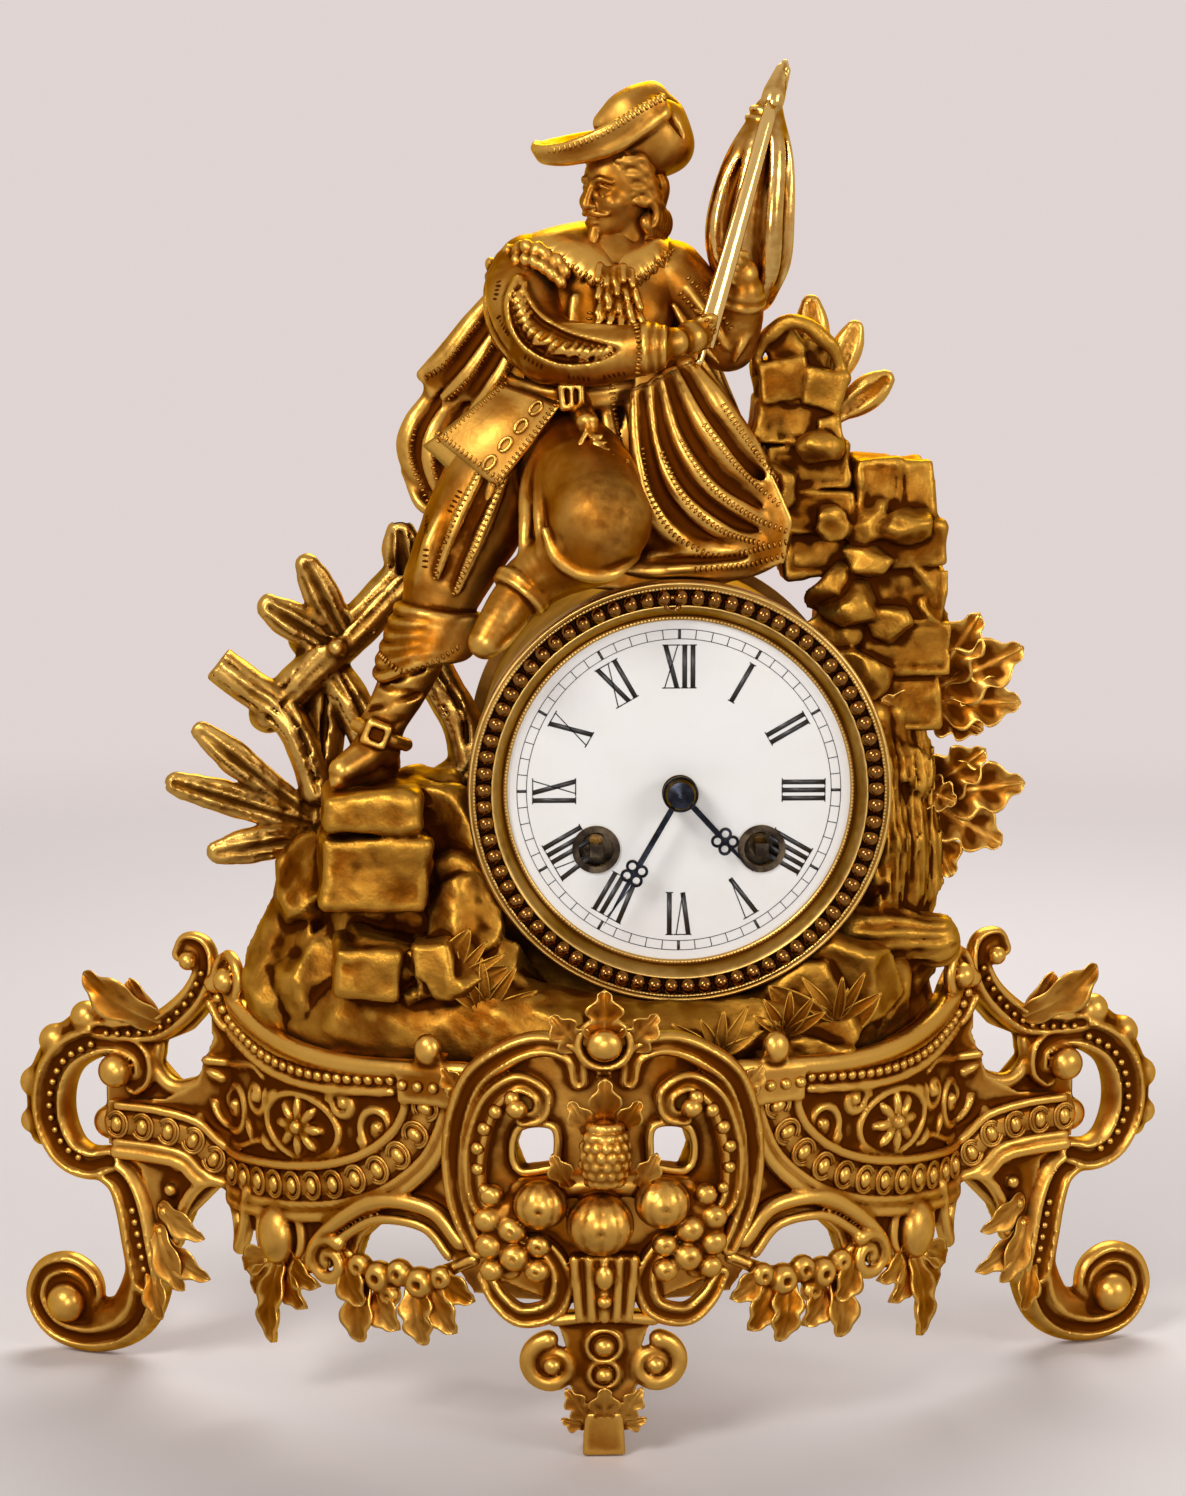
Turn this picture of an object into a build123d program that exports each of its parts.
from build123d import *
import math
import os

# Gilt figural mantel clock. Millimetres, +X right, +Y to the back, +Z up.
# The origin is on the table, under the middle of the clock.

# Clearances
running = 0.05
apart = 0.3

# Dial and case
dial_x = 21.0
dial_z = 168.0
dial_front = -28.0
dial_thickness = 1.6
dial_radius = 47.0
dial_opening = 45.0
bezel_radius = 55.5
bezel_front = -34.0
drum_front = -26.0
drum_radius = 52.0
drum_wall = 1.5
drum_length = 90.0
view_room = 40.0
bezel_lip = 1.0
bezel_cove = (2.0, 3.5)
bezel_flat = (4.0, 0.8)
bezel_crown = 4.0
bezel_round = (1.5, 0.6, 2.5)
eyelet_hole = 4.6
eyelet_radius = 5.5
eyelet_flange = 6.3
eyelet_lip = 0.6
rear_bezel_depth = 3.1
rear_bezel_radius = 55.0
rear_bezel_inside = 47.0
door_radius = 54.0
door_thickness = 2.0
door_dome = 5.0
door_flat = 4.0
door_shoulder = 10.0
sound_holes = 10
sound_hole_radius = 3.2
sound_hole_circle = 34.0
hinge_pin_radius = 0.8
hinge_barrel_radius = 1.7
hinge_offset = 57.5
hinge_sink = 0.6
hinge_length = 24.0
hinge_door_length = 7.4
strap_width = 8.0
strap_thickness = 1.2
strap_circle = 49.0
strap_screw_radius = 1.0
strap_screw_head = 1.7
strap_screw_head_depth = 1.5

# Movement frame
motion_work_depth = 9.4
minute_wheel_gap = (2.5, 1.0)
hour_wheel_gap = (5.5, 4.0)
cannon_gap = (3.0, 0.5)
minute_pinion_lap = 0.5
minute_stud_proud = 1.5
plate_thickness = 3.0
pillar_length = 32.0
front_plate_radius = 50.2
back_plate_radius = 46.8
pillar_radius = 2.5
pillar_places = [(30.0, 31.0), (-33.0, 28.0), (11.0, -41.0), (-11.0, -41.0)]
pillar_tail = 3.0
pillar_pivot_radius = 1.4
post_radius = 1.6
post_circle = 48.2
arbor_radius = 0.5
pivot_radius = 0.35
stout_radius = 0.9
winding_radius = 3.0
winding_square = 3.4
winding_reach = 30.5
barrel_arbor_radius = 2.2
barrel_pivot_radius = 1.6
wheel_rim = 1.6
wheel_hub = 2.5
wheel_arm = 1.8
wheel_arms = 5
hour_wheel_hub = 3.7

# Wheelwork: teeth and modules of each wheel with the pinion that it drives
winding_across = 43.5
winding_drop = 15.5
great_teeth = 84
great_pinion = 14
great_module = 0.4
second_teeth = 60
centre_pinion = 10
second_module = 0.4
centre_teeth = 84
third_pinion = 7
centre_module = 0.29
third_teeth = 91
escape_pinion = 7
third_module = 0.25
escape_teeth = 36
escape_radius = 9.0
pallet_distance = 12.0
escape_tooth = [(0.8, 0.0), (1.0, 0.42), (1.0, 0.5), (0.8, 0.5)]
escape_rim = 0.8
pallet_clear = 1.1
pallet_spread = 48.0
anchor_arm = 1.6
anchor_stem = 2.4
anchor_head = 1.8
cannon_teeth = 14
minute_teeth = 42
motion_module = 0.4
minute_pinion = 12
hour_teeth = 48
strike_pinion = 8
pin_teeth = 60
warning_pinion = 7
pin_module = 0.35
warning_teeth = 50
fly_pinion = 7
warning_module = 0.3
third_bearing = 68.0
minute_bearing = 45.0
strike_second_bearing = 98.0
pin_wheel_bearing = 60.0
warning_bearing = 75.0
fly_bearing = 100.0
wheel_form = {"tip": 0.65, "root": 1.1, "root_width": 0.40, "pitch_width": 0.30, "tip_width": 0.10}
pinion_form = {"tip": 0.25, "root": 1.25, "root_width": 0.24, "pitch_width": 0.24, "tip_width": 0.12}

# Layers of the wheelwork, from the inside of the front plate
great_layer = (3.0, 5.5)
barrel_layer = (5.5, 20.0)
second_layer = (22.0, 24.0)
centre_layer = (26.3, 28.0)
third_layer = (16.0, 18.0)
escape_layer = (10.0, 11.5)
warning_layer = (4.0, 5.5)
fly_layer = (20.0, 27.5)
pin_layer = (18.0, 21.0)
tail_layer = (18.6, 20.4)
pinion_overhang = 1.0

# Barrels, ratchets and clicks
barrel_radius = 15.8
barrel_wall = 1.0
spring_turns = 9
spring_strip = 0.5
spring_inner = 3.4
spring_steps = 24
ratchet_teeth = 20
ratchet_radius = 8.0
ratchet_root = 6.8
ratchet_thickness = 2.0
ratchet_gap = 0.5
ratchet_rake = 0.9
winding_shoulder = 2.0
click_stud_radius = 1.0
click_pivot = 11.5
click_boss = 2.3
click_tip_clear = 0.2
click_tip_turn = 42.0
click_bearings = {"going": -60.0, "strike": -120.0}
click_beak = (2.6, 6.0)
click_outer = (1.6, 6.0)
click_inner = (1.7, 4.0)

# Strike work
strike_pins = 12
strike_pin_circle = 8.5
strike_pin_radius = 0.6
fly_radius = 5.5
fly_thickness = 0.8
fly_pipe = 0.6
count_radius = 13.0
count_thickness = 1.5
count_gap = 1.0
count_notch = 1.0
count_notch_depth = 1.6
strike_blows = 90
hammer_place = (-37.5, 12.0)
hammer_bearing = 115.0
hammer_head_radius = 3.0
hammer_head_length = 5.0
hammer_arm_width = 2.0
hammer_rest = 0.4
hammer_inset = 1.5
hammer_boss = 0.9
hammer_tail_width = 1.6
bell_place = (-9.0, -6.0)
bell_radius = 30.0
bell_wall = 1.2
bell_front = 36.0
bell_depth = 20.0
bell_post_radius = 2.0
bell_nut_radius = 4.0
bell_nut_height = 2.5
bell_foot_depth = 2.0
bell_shoulder = 0.8
bell_outside = [(1.0, 0.0), (1.0, 0.3), (0.93, 0.62), (0.7, 0.87), (0.35, 1.0)]
bell_inside = [(0.34, 0.94), (0.68, 0.81), (0.89, 0.59), (0.96, 0.29), (0.96, 0.0)]

# Pendulum, suspension and regulator
pendulum_y = 29.0
pendulum_length = 100.0
pendulum_rod_radius = 0.9
bob_radius = 13.0
bob_thickness = 8.0
pendulum_swing = 5.0
rod_tail = 5.0
hook_drop = 2.0
hook_length = 6.0
hook_half = 1.0
bob_shoulder = (0.55, 0.42)
bob_edge = 0.6
rating_nut_radius = 2.6
rating_nut_height = 2.8
crutch_drop = 24.0
crutch_prong = 0.5
crutch_gap = (1.8, 3.0)
crutch_width = 1.8
crutch_head = 1.2
crutch_reach = 2.0
spring_blade = 0.4
blade_half_depth = 2.5
cock_cheek = (2.2, 5.0)
cock_rise = (1.4, 9.4)
cock_bridge = 1.6
cock_foot_half = 6.0
cock_foot_depth = 2.0
cock_foot_rise = 3.0
cock_foot_head = 1.6
slide_rise = 2.0
slide_height = 3.4
slide_half_depth = 4.0
yoke_thickness = 1.0
yoke_edge = 0.5
regulator_place = (-2.0, 48.2)
regulator_throw = 0.8
regulator_pin = 0.4
regulator_sunk = 1.5
crank_thickness = 0.8
crank_edge = 0.2

# Hands, set to the time shown
minute_hand_length = 40.0
minute_ornament = 24.0
hour_hand_length = 28.7
hour_ornament = 17.6
hand_thickness = 0.6
hand_width = 1.5
hand_boss_radius = 4.7
quatrefoil_radius = 1.7
quatrefoil_hole = 0.95
quatrefoil_spread = 2.0
minute_shown = 35.0
hour_shown = 4.0
cannon_radius = 2.0
hour_pipe_radius = 2.9
hour_hand_back = -31.4
minute_hand_back = -34.4
hand_nut_depth = 3.0
hand_nut_foot = 4.3
hand_nut_top = 3.5
hand_nut_shoulder = 2.4

# Base
plan_radius = 110.0
plan_front = -58.0
plan_corner = 100.0
wing_slope = 0.4
wing_end = 170.0
base_wall = 5.0
base_height = 126.0
deck_top = 95.0
deck_thickness = 4.0
deck_back = 42.0
deck_half_width = 97.0
bob_room = 4.0
rim_proud = 3.0
band_proud = 2.5
cartouche_proud = 8.0
cartouche_depth = 10.0
wing_proud = 4.0
wing_depth = 14.0
garland_proud = 4.0
garland_depth = 6.0
bolt_radius = 2.0
bolt_nut_radius = 4.5
bolt_nut_height = 4.0
bolt_rise = 8.0
bolt_boss_radius = 5.0
bolt_places = [(-70.0, 12.0), (70.0, 12.0), (0.0, -38.0)]

# Elevation of the base, left half, as seen from the front: (x, z)
shell_half = [
    (0, 100), (-50, 100), (-65, 98.5), (-79, 98.5), (-90, 101), (-98, 106), (-104, 113), (-108, 108),
    (-108, 92), (-112, 80), (-122, 76), (-137, 74), (-137, 61), (-128, 52), (-119, 44.5), (-108, 48),
    (-97, 51), (-82.5, 55), (-76, 49), (-69, 43), (-64, 50), (-60, 58), (-53, 62), (-44, 58),
    (-38, 50), (-34, 42), (0, 40),
]
rim_band = [
    (-53, 100), (-65, 98.5), (-79, 98.5), (-90, 101), (-99, 107), (-103, 111.5), (-100, 101),
    (-91, 95.5), (-79, 93), (-65, 92.5), (-53, 93),
]
lower_band = [
    (-136, 74), (-113, 74.5), (-108, 67.5), (-94, 59.5), (-71, 64.5), (-52, 74.5), (-44, 88.5),
    (-38, 89), (-50, 67), (-69, 58), (-91, 53.5), (-107, 58.5), (-113, 64), (-136, 62),
]
cartouche_half = [
    (0, 121), (-4, 121), (-6, 115), (-11, 114), (-10, 107), (-19, 109), (-31, 103), (-38, 90),
    (-39, 72), (-37, 56), (-33, 43), (-25, 39), (-14, 37), (0, 37),
]
cartouche_eye = (-17.0, 80.0)
cartouche_eye_size = (8.0, 12.0)
foot_sections = [(37.0, 12.0, 10.0), (31.0, 14.0, 11.0), (16.0, 11.0, 9.0), (13.0, 7.5, 7.0), (0.0, 5.0, 5.5)]
foot_y = -58.0
foot_round = 3.0
stem_outline = [
    (-149, 52), (-133, 52), (-127, 40), (-117, 26), (-115, 16), (-124, 6), (-140, 0), (-154, 4),
    (-146, 12), (-133, 15), (-132, 24), (-140, 36),
]
foot_volute = (-144.0, 14.0)
foot_volute_radius = 14.6
scroll_outer = [
    (-132, 48), (-149, 48), (-158, 60), (-160, 74), (-156, 88), (-145, 100), (-131, 103),
    (-123, 95), (-121, 82),
]
scroll_inner = [(-134, 53), (-142, 62), (-143, 76), (-140, 88), (-132, 91), (-137, 80), (-136, 66)]
scroll_eye = (-129.5, 84.0)
scroll_eye_radius = 8.5
crest_outline = [
    (-140, 114), (-137, 101), (-128, 98), (-116, 93), (-107, 97), (-100, 108), (-100, 117), (-106, 122),
    (-113, 121), (-115, 115), (-110, 112), (-112, 105), (-119, 103), (-126, 110),
]
garland_leaves = [
    ((-84, 62), (-84, 18.5), 11), ((-84, 46), (-95, 30), 9), ((-84, 46), (-74, 32), 9),
    ((-70, 47), (-58, 26), 14), ((-62, 45), (-47, 27), 14), ((-50, 44), (-36, 28), 14),
    ((-38, 48), (-28, 33), 14),
]
garland_cord = [(-70, 47), (-58, 41), (-45, 41), (-32, 48)]
garland_cord_width = 7.0
fruit_balls = [((-1.0, 66.5), 8.8), ((-14.5, 69.0), 8.0), ((12.5, 69.5), 8.0),
               ((-19.0, 56.0), 7.0), ((18.0, 56.0), 7.0), ((0.0, 52.0), 8.5)]
fruit_sink = 1.5
fruit_pad = [(-26, 46), (26, 46), (26, 68), (9, 76), (9, 104), (-9, 104), (-9, 76), (-26, 68)]
pinecone_middle = 87.0
pinecone_half_height = 16.0
pinecone_radius = 8.5

# Rockwork on the deck: outlines (x, y) at the bottom and top of each boulder
mound_foot = [(-92, 8), (-80, -18), (-50, -40), (0, -50), (50, -40), (80, -18), (92, 8), (72, 40), (-72, 40)]
mound_top = [(-66, 8), (-60, -14), (-38, -32), (0, -36), (38, -32), (62, -14), (70, 8), (58, 36), (-56, 36)]
mound_rise = 42.0
cavity_foot = [(-82, 8), (-72, -14), (-44, -33), (0, -42), (44, -33), (72, -14), (82, 8), (64, 44), (-64, 44)]
cavity_top = [(-56, 8), (-50, -8), (-30, -24), (0, -28), (30, -24), (52, -8), (60, 8), (50, 44), (-48, 44)]
cavity_rise = 34.0
pillar_foot = [(-82, 10), (-76, -22), (-48, -34), (-30, -30), (-26, 4), (-40, 22), (-70, 24)]
pillar_top = [(-74, -6), (-68, -26), (-54, -30), (-46, -26), (-44, -10), (-50, 0), (-66, 2)]
pillar_rise = 74.0
column_foot = [(60, 26), (58, -14), (76, -16), (90, 4), (91, 26)]
column_top = [(58, 22), (60, -4), (72, -6), (90, 2), (90, 22)]
column_rise = 92.0
log_line = [((74.0, -8.0, 122.0), 8.0), ((96.0, -6.0, 126.0), 7.0)]

# Ruined wall: courses of brick as (x, z, width, height), from the bottom up
bricks = [
    (77, 188, 32, 16), (83, 203, 24, 15), (72, 204, 20, 14), (79, 217, 30, 14), (62, 228, 24, 12),
    (82, 229, 24, 11), (56, 239, 26, 12), (80, 243, 19, 18), (57, 250, 22, 14), (54, 263, 24, 14),
    (55, 275, 19, 12),
]
wall_front = -2.0
wall_back = 24.0

# Foliage, flat in elevation: leaves as (base, tip, width) and stems as (from, to)
oak_leaves = [
    ((96, 180), (121, 199), 13), ((98, 186), (104, 212), 12), ((94, 172), (119, 183), 12),
    ((92, 166), (112, 170), 11), ((92, 158), (121, 154), 13), ((90, 152), (113, 141), 12),
    ((89, 146), (103, 132), 10),
]
oak_stems = [((84, 128), (90, 160)), ((90, 158), (99, 190))]
crown_leaves = [((48, 276), (58, 299), 10), ((54, 272), (69, 291), 10), ((60, 266), (83, 275), 10)]
crown_stems = [((46, 262), (56, 282)), ((52, 262), (66, 278)), ((52, 264), (70, 271))]
stem_width = 5.0
oak_front = 8.0
crown_front = 4.0
leaf_depth = 6.0
fence_leaves = [
    ((-78, 156), (-118, 160), 11), ((-76, 148), (-106, 138), 11), ((-80, 164), (-112, 176), 11),
    ((-74, 190), (-83, 223), 14), ((-72, 196), (-92, 206), 10), ((-60, 204), (-62, 232), 12),
]
fence_leaf_front = 4.0
fence_rails = [
    [((-105.0, 8.0, 196.0), 5.0), ((-66.0, 8.0, 160.0), 6.0)],
    [((-94.0, 8.0, 170.0), 5.5), ((-54.0, 10.0, 220.0), 6.5)],
    [((-76.0, 8.0, 128.0), 6.5), ((-72.0, 8.0, 200.0), 5.0)],
    [((-44.0, 8.0, 196.0), 5.5), ((-38.0, 10.0, 132.0), 6.5)],
]

# Figure, from the top of the drum: limbs as points with radii, trunk as oval sections
trunk_sections = [(-34, -8, 22, 19, 15), (-30, -8, 34, 25, 17), (-28, -7, 48, 17.5, 13.5),
                  (-21, -5, 70, 21, 15), (-18, -3, 84, 23, 12.5), (-17, -3, 92, 12, 9)]
neck_line = [((-17, -4, 88), 7.0), ((-16, -6, 98), 6.5)]
skull = ((-16, -8, 104), 9.5, 13.0)
hair = ((-11, -3, 102), 11.0, 13.5)
beard_line = [((-21, -14, 95), 4.5), ((-24, -18, 90), 2.0)]
hat_centre = (-13, -6, 116)
hat_brim = 19.5
hat_brim_depth = 3.0
hat_tilt = (8.0, -14.0)
hat_crown = ((-9, -4, 119), 13.0, 12.0)
near_arm = [((-37, -5, 84), 10.0), ((-31, -25, 64), 8.5), ((-6, -38, 63), 5.8), ((5, -33, 68), 5.2)]
far_arm = [((-1, -4, 82), 9.0), ((10, -10, 72), 7.5), ((15, -17, 82), 5.0)]
standing_leg = [((-44, -8, 30), 14.5), ((-62, -14, -4), 10.0), ((-66, -15, -13), 11.5), ((-77, -15, -38), 6.0),
                ((-86, -24, -47), 4.0)]
bent_leg = [((-26, -14, 34), 15.0), ((-21, -45, 24), 13.5), ((-42, -38, 4), 7.5), ((-52, -46, -3), 4.6)]
cape_left = [(-34, 88), (-50, 72), (-66, 48), (-73, 30), (-66, 16), (-50, 20), (-40, 44), (-28, 72)]
cape_back = [(-40, 86), (4, 84), (16, 40), (24, 8), (-48, 8), (-54, 34)]
cape_right = [(-8, 74), (8, 62), (24, 40), (31, 20), (28, 6), (8, -2), (-20, -4), (-34, 6), (-26, 22),
              (-16, 44)]
cape_left_layer = (2.0, 16.0)
cape_back_layer = (5.0, 20.0)
cape_right_layer = (-22.0, 24.0)
staff_line = [((2, -27, 50), 1.7), ((26, -6, 130), 1.6)]
spear_line = [((26, -6, 130), 2.8), ((28.5, -4, 137.5), 0.4)]
flag_line = [((23, -5, 122), 3.5), ((20, -5, 104), 10.0), ((17, -4, 84), 11.0), ((20, 0, 64), 8.0)]


# Places worked out from the sizes above

drum_back = drum_front + drum_length
dial_back = dial_front + dial_thickness
front_plate_y = dial_back + motion_work_depth
inside = front_plate_y + plate_thickness
back_plate_y = inside + pillar_length
behind = back_plate_y + plate_thickness
seat_z = dial_z + drum_radius
plan_centre = plan_front + plan_radius


def polar(start, distance, degrees):
    """The point that lies a distance away from a start, at an angle seen from the front."""
    turn = math.radians(degrees)
    return (start[0] + distance * math.cos(turn), start[1] + distance * math.sin(turn))


def bearing(start, end):
    """The angle of the line from one arbor to another."""
    return math.degrees(math.atan2(end[1] - start[1], end[0] - start[0]))


def reach(module, wheel, pinion):
    """The distance between the arbors of a wheel and its pinion."""
    return module * (wheel + pinion) / 2


def meeting(first, first_reach, second, second_reach):
    """The place at two given distances from two arbors, on the upper side."""
    span = math.dist(first, second)
    along = (span ** 2 + first_reach ** 2 - second_reach ** 2) / (2 * span)
    aside = math.sqrt(first_reach ** 2 - along ** 2)
    ux, uz = (second[0] - first[0]) / span, (second[1] - first[1]) / span
    return (first[0] + along * ux - aside * uz, first[1] + along * uz + aside * ux)


centre = (0.0, 0.0)
going = (winding_across / 2, -winding_drop)
strike = (-winding_across / 2, -winding_drop)
second = meeting(centre, reach(second_module, second_teeth, centre_pinion),
                 going, reach(great_module, great_teeth, great_pinion))
third = polar(centre, reach(centre_module, centre_teeth, third_pinion), third_bearing)
escape_drop = reach(third_module, third_teeth, escape_pinion)
escape = (0.0, third[1] + math.sqrt(escape_drop ** 2 - third[0] ** 2))
pallets = (0.0, escape[1] + pallet_distance)
strike_second = polar(strike, reach(great_module, great_teeth, great_pinion), strike_second_bearing)
pin_wheel_at = polar(strike_second, reach(second_module, second_teeth, strike_pinion), pin_wheel_bearing)
warning = polar(pin_wheel_at, reach(pin_module, pin_teeth, warning_pinion), warning_bearing)
fly_at = polar(warning, reach(warning_module, warning_teeth, fly_pinion), fly_bearing)
minute_at = polar(centre, reach(motion_module, minute_teeth, cannon_teeth), minute_bearing)
hour_module = 2 * reach(motion_module, minute_teeth, cannon_teeth) / (hour_teeth + minute_pinion)
hammer_head_at = polar(bell_place, bell_radius + hammer_rest + hammer_head_radius, hammer_bearing)


# Shapes in the plane of the dial, measured from the dial's centre

def facing(place, y_back):
    """A plane that faces the viewer at a place on the dial, with its back at y_back."""
    return Plane(origin=(dial_x + place[0], y_back, dial_z + place[1]), x_dir=(1, 0, 0), z_dir=(0, -1, 0))


def disc(place, y_front, y_back, radius, mode=Mode.ADD):
    """A round of metal across the dial's axis."""
    with BuildSketch(facing(place, y_back)) as outline:
        Circle(radius)
    extrude(outline.sketch, amount=y_back - y_front, mode=mode)


def slab(place, y_front, y_back, points, mode=Mode.ADD):
    """A flat piece cut to an outline of points around a place."""
    with BuildSketch(facing(place, y_back)) as outline:
        Polygon(*points, align=None)
    extrude(outline.sketch, amount=y_back - y_front, mode=mode)


def block(low, high, y_front, y_back, mode=Mode.ADD):
    """A square block between two corners on the dial's plane."""
    slab(centre, y_front, y_back, [low, (high[0], low[1]), high, (low[0], high[1])], mode)


def turned(place, profile, mode=Mode.ADD):
    """A piece turned about an axis through a place, from a profile of (radius, y)."""
    middle = (dial_x + place[0], 0, dial_z + place[1])
    with BuildSketch(Plane(origin=middle)) as half:
        Polygon(*profile, align=None)
    revolve(half.sketch, axis=Axis(middle, (0, 1, 0)), mode=mode)


def bar_points(start, end, width):
    """The corners of a straight bar between two points."""
    length = math.dist(start, end)
    sx = -(end[1] - start[1]) / length * width / 2
    sz = (end[0] - start[0]) / length * width / 2
    return [(start[0] + sx, start[1] + sz), (end[0] + sx, end[1] + sz),
            (end[0] - sx, end[1] - sz), (start[0] - sx, start[1] - sz)]


def toothed(place, layer, teeth, module, form, tooth_at, overhang=0.0):
    """A wheel or pinion with one tooth pointing along the angle tooth_at."""
    pitch = teeth * module / 2
    profile = [
        (pitch - form["root"] * module, -form["root_width"] / 2),
        (pitch, -form["pitch_width"] / 2),
        (pitch + form["tip"] * module, -form["tip_width"] / 2),
        (pitch + form["tip"] * module, form["tip_width"] / 2),
        (pitch, form["pitch_width"] / 2),
        (pitch - form["root"] * module, form["root_width"] / 2),
    ]
    points = []
    for tooth in range(teeth):
        for radius, share in profile:
            points.append(polar((0, 0), radius, tooth_at + 360 * (tooth + share) / teeth))
    slab(place, layer[0] - overhang, layer[1] + overhang, points)


def driving(place, layer, teeth, module, driven):
    """A wheel with a tooth on the line to the arbor that it drives."""
    toothed(place, layer, teeth, module, wheel_form, bearing(place, driven))


def driven_by(place, layer, teeth, module, driver):
    """A pinion with a gap on the line to the wheel that drives it."""
    toothed(place, layer, teeth, module, pinion_form, bearing(place, driver) + 180 / teeth, pinion_overhang)


def within(layer):
    """A layer of the wheelwork as front and back in Y."""
    return (inside + layer[0], inside + layer[1])


def arbor(place, back_pivot=pivot_radius, back_end=None):
    """A steel arbor between the plates, with a pivot in each plate."""
    disc(place, inside + apart, back_plate_y - apart, arbor_radius)
    disc(place, front_plate_y + apart, inside + apart, pivot_radius)
    disc(place, back_plate_y - apart, back_end if back_end else behind - apart, back_pivot)


def crossings(place, layer, radius, hub=wheel_hub):
    """The openings between the arms of a crossed-out wheel."""
    with BuildSketch(facing(place, layer[1])) as openings:
        Circle(radius - wheel_rim)
        Circle(hub, mode=Mode.SUBTRACT)
        with PolarLocations(0, wheel_arms):
            Rectangle(radius, wheel_arm, align=(Align.MIN, Align.CENTER), mode=Mode.SUBTRACT)
    extrude(openings.sketch, amount=layer[1] - layer[0], mode=Mode.SUBTRACT)


# Shapes for the castings

def limb(chain, origin=(0, 0, 0)):
    """A tapering limb through points with radii, round at every joint."""
    points = [(Vector(*origin) + Vector(*point), radius) for point, radius in chain]
    for point, radius in points:
        with Locations(point):
            Sphere(radius)
    for (start, start_radius), (end, end_radius) in zip(points, points[1:]):
        span = end - start
        with Locations(Plane(origin=start, z_dir=span)):
            if abs(start_radius - end_radius) < 0.01:
                Cylinder(start_radius, span.length, align=(Align.CENTER, Align.CENTER, Align.MIN))
            else:
                Cone(start_radius, end_radius, span.length, align=(Align.CENTER, Align.CENTER, Align.MIN))


def egg(middle, radius, half_height):
    """A standing egg shape, round in plan."""
    ball = Sphere(radius, mode=Mode.PRIVATE)
    tall = scale(ball, by=(1, 1, half_height / radius), mode=Mode.PRIVATE)
    with Locations(middle):
        add(tall)


def boulder(foot, foot_z, top, top_z, mode=Mode.ADD):
    """A rough block of rock between two outlines of as many corners."""
    with BuildSketch(Plane.XY.offset(foot_z)) as lower:
        Polygon(*foot, align=None)
    with BuildSketch(Plane.XY.offset(top_z)) as upper:
        Polygon(*top, align=None)
    loft([lower.sketch, upper.sketch], ruled=True, mode=mode)


def curved(points):
    """A closed smooth outline through points."""
    with BuildSketch() as outline:
        with BuildLine():
            Spline(*points, periodic=True)
        make_face()
    return outline.sketch


def leaf(base, tip, width):
    """A pointed leaf from its base to its tip."""
    middle = ((base[0] + tip[0]) / 2, (base[1] + tip[1]) / 2)
    length = math.dist(base, tip)
    across = (-(tip[1] - base[1]) / length * width / 2, (tip[0] - base[0]) / length * width / 2)
    with BuildSketch() as outline:
        with BuildLine():
            ThreePointArc(base, (middle[0] + across[0], middle[1] + across[1]), tip)
            ThreePointArc(tip, (middle[0] - across[0], middle[1] - across[1]), base)
        make_face()
    return outline.sketch


def foliage(leaves, stems, front, depth):
    """A spray of leaves on its stems, seen from the front."""
    with BuildSketch(Plane.XZ.offset(-(front + depth))) as spray:
        for base, tip, width in leaves:
            add(leaf(base, tip, width))
        for start, end in stems:
            Polygon(*bar_points(start, end, stem_width), align=None)
    extrude(spray.sketch, amount=depth)


def plan_points(proud):
    """The corner and the end of the base's right half in plan, moved out by proud."""
    corner_y = plan_centre - math.sqrt(plan_radius ** 2 - plan_corner ** 2)
    share = (plan_radius + proud) / plan_radius
    corner = (plan_corner * share, plan_centre + (corner_y - plan_centre) * share)
    end = (wing_end, corner_y + wing_slope * (wing_end - plan_corner) - proud * math.hypot(1, wing_slope))
    return corner, end


def bowed(outline, proud, depth):
    """A plate that follows the base's plan, cut to an outline as seen from the front."""
    corner, end = plan_points(proud)
    inner_corner, inner_end = plan_points(proud - depth)
    with BuildPart() as plate:
        with BuildSketch():
            with BuildLine():
                ThreePointArc((-corner[0], corner[1]), (0, plan_front - proud), corner)
                Polyline(corner, end, inner_end, inner_corner)
                ThreePointArc(inner_corner, (0, plan_front - proud + depth),
                              (-inner_corner[0], inner_corner[1]))
                Polyline((-inner_corner[0], inner_corner[1]), (-inner_end[0], inner_end[1]),
                         (-end[0], end[1]), (-corner[0], corner[1]))
            make_face()
        extrude(amount=base_height)
        with BuildSketch(Plane.XZ):
            add(outline)
        extrude(amount=plan_radius, both=True, mode=Mode.INTERSECT)
    return plate.part


def polygon(points):
    """A closed outline of straight sides."""
    with BuildSketch() as outline:
        Polygon(*points, align=None)
    return outline.sketch


def whole(half):
    """A left half outline, closed by its mirror image."""
    right = [(-x, z) for x, z in reversed(half) if x != 0]
    return polygon(half + right)


def finish(builder, name):
    """Label a finished piece and write it."""
    builder.part.label = name
    export_step(builder.part, f"parts/{name}.step")


os.makedirs("parts", exist_ok=True)

# Drum case: a plain brass tube that holds the movement, slotted below for the pendulum

slot_half = math.tan(math.radians(pendulum_swing)) * (pallets[1] + drum_radius) + bob_room
slot_front = pendulum_y - bob_thickness / 2 - 2 * apart - pendulum_rod_radius
slot_back = pendulum_y + bob_thickness / 2 + 2 * apart + pendulum_rod_radius
with BuildPart() as drum_case:
    disc(centre, drum_front, drum_back, drum_radius)
    disc(centre, drum_front, drum_back, drum_radius - drum_wall, Mode.SUBTRACT)
    block((-slot_half, -drum_radius - apart), (slot_half, -drum_radius + 2 * bob_room), slot_front, slot_back,
          Mode.SUBTRACT)
finish(drum_case, "drum_case")

# Room that the drum and the bezel need in the castings around them

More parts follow.
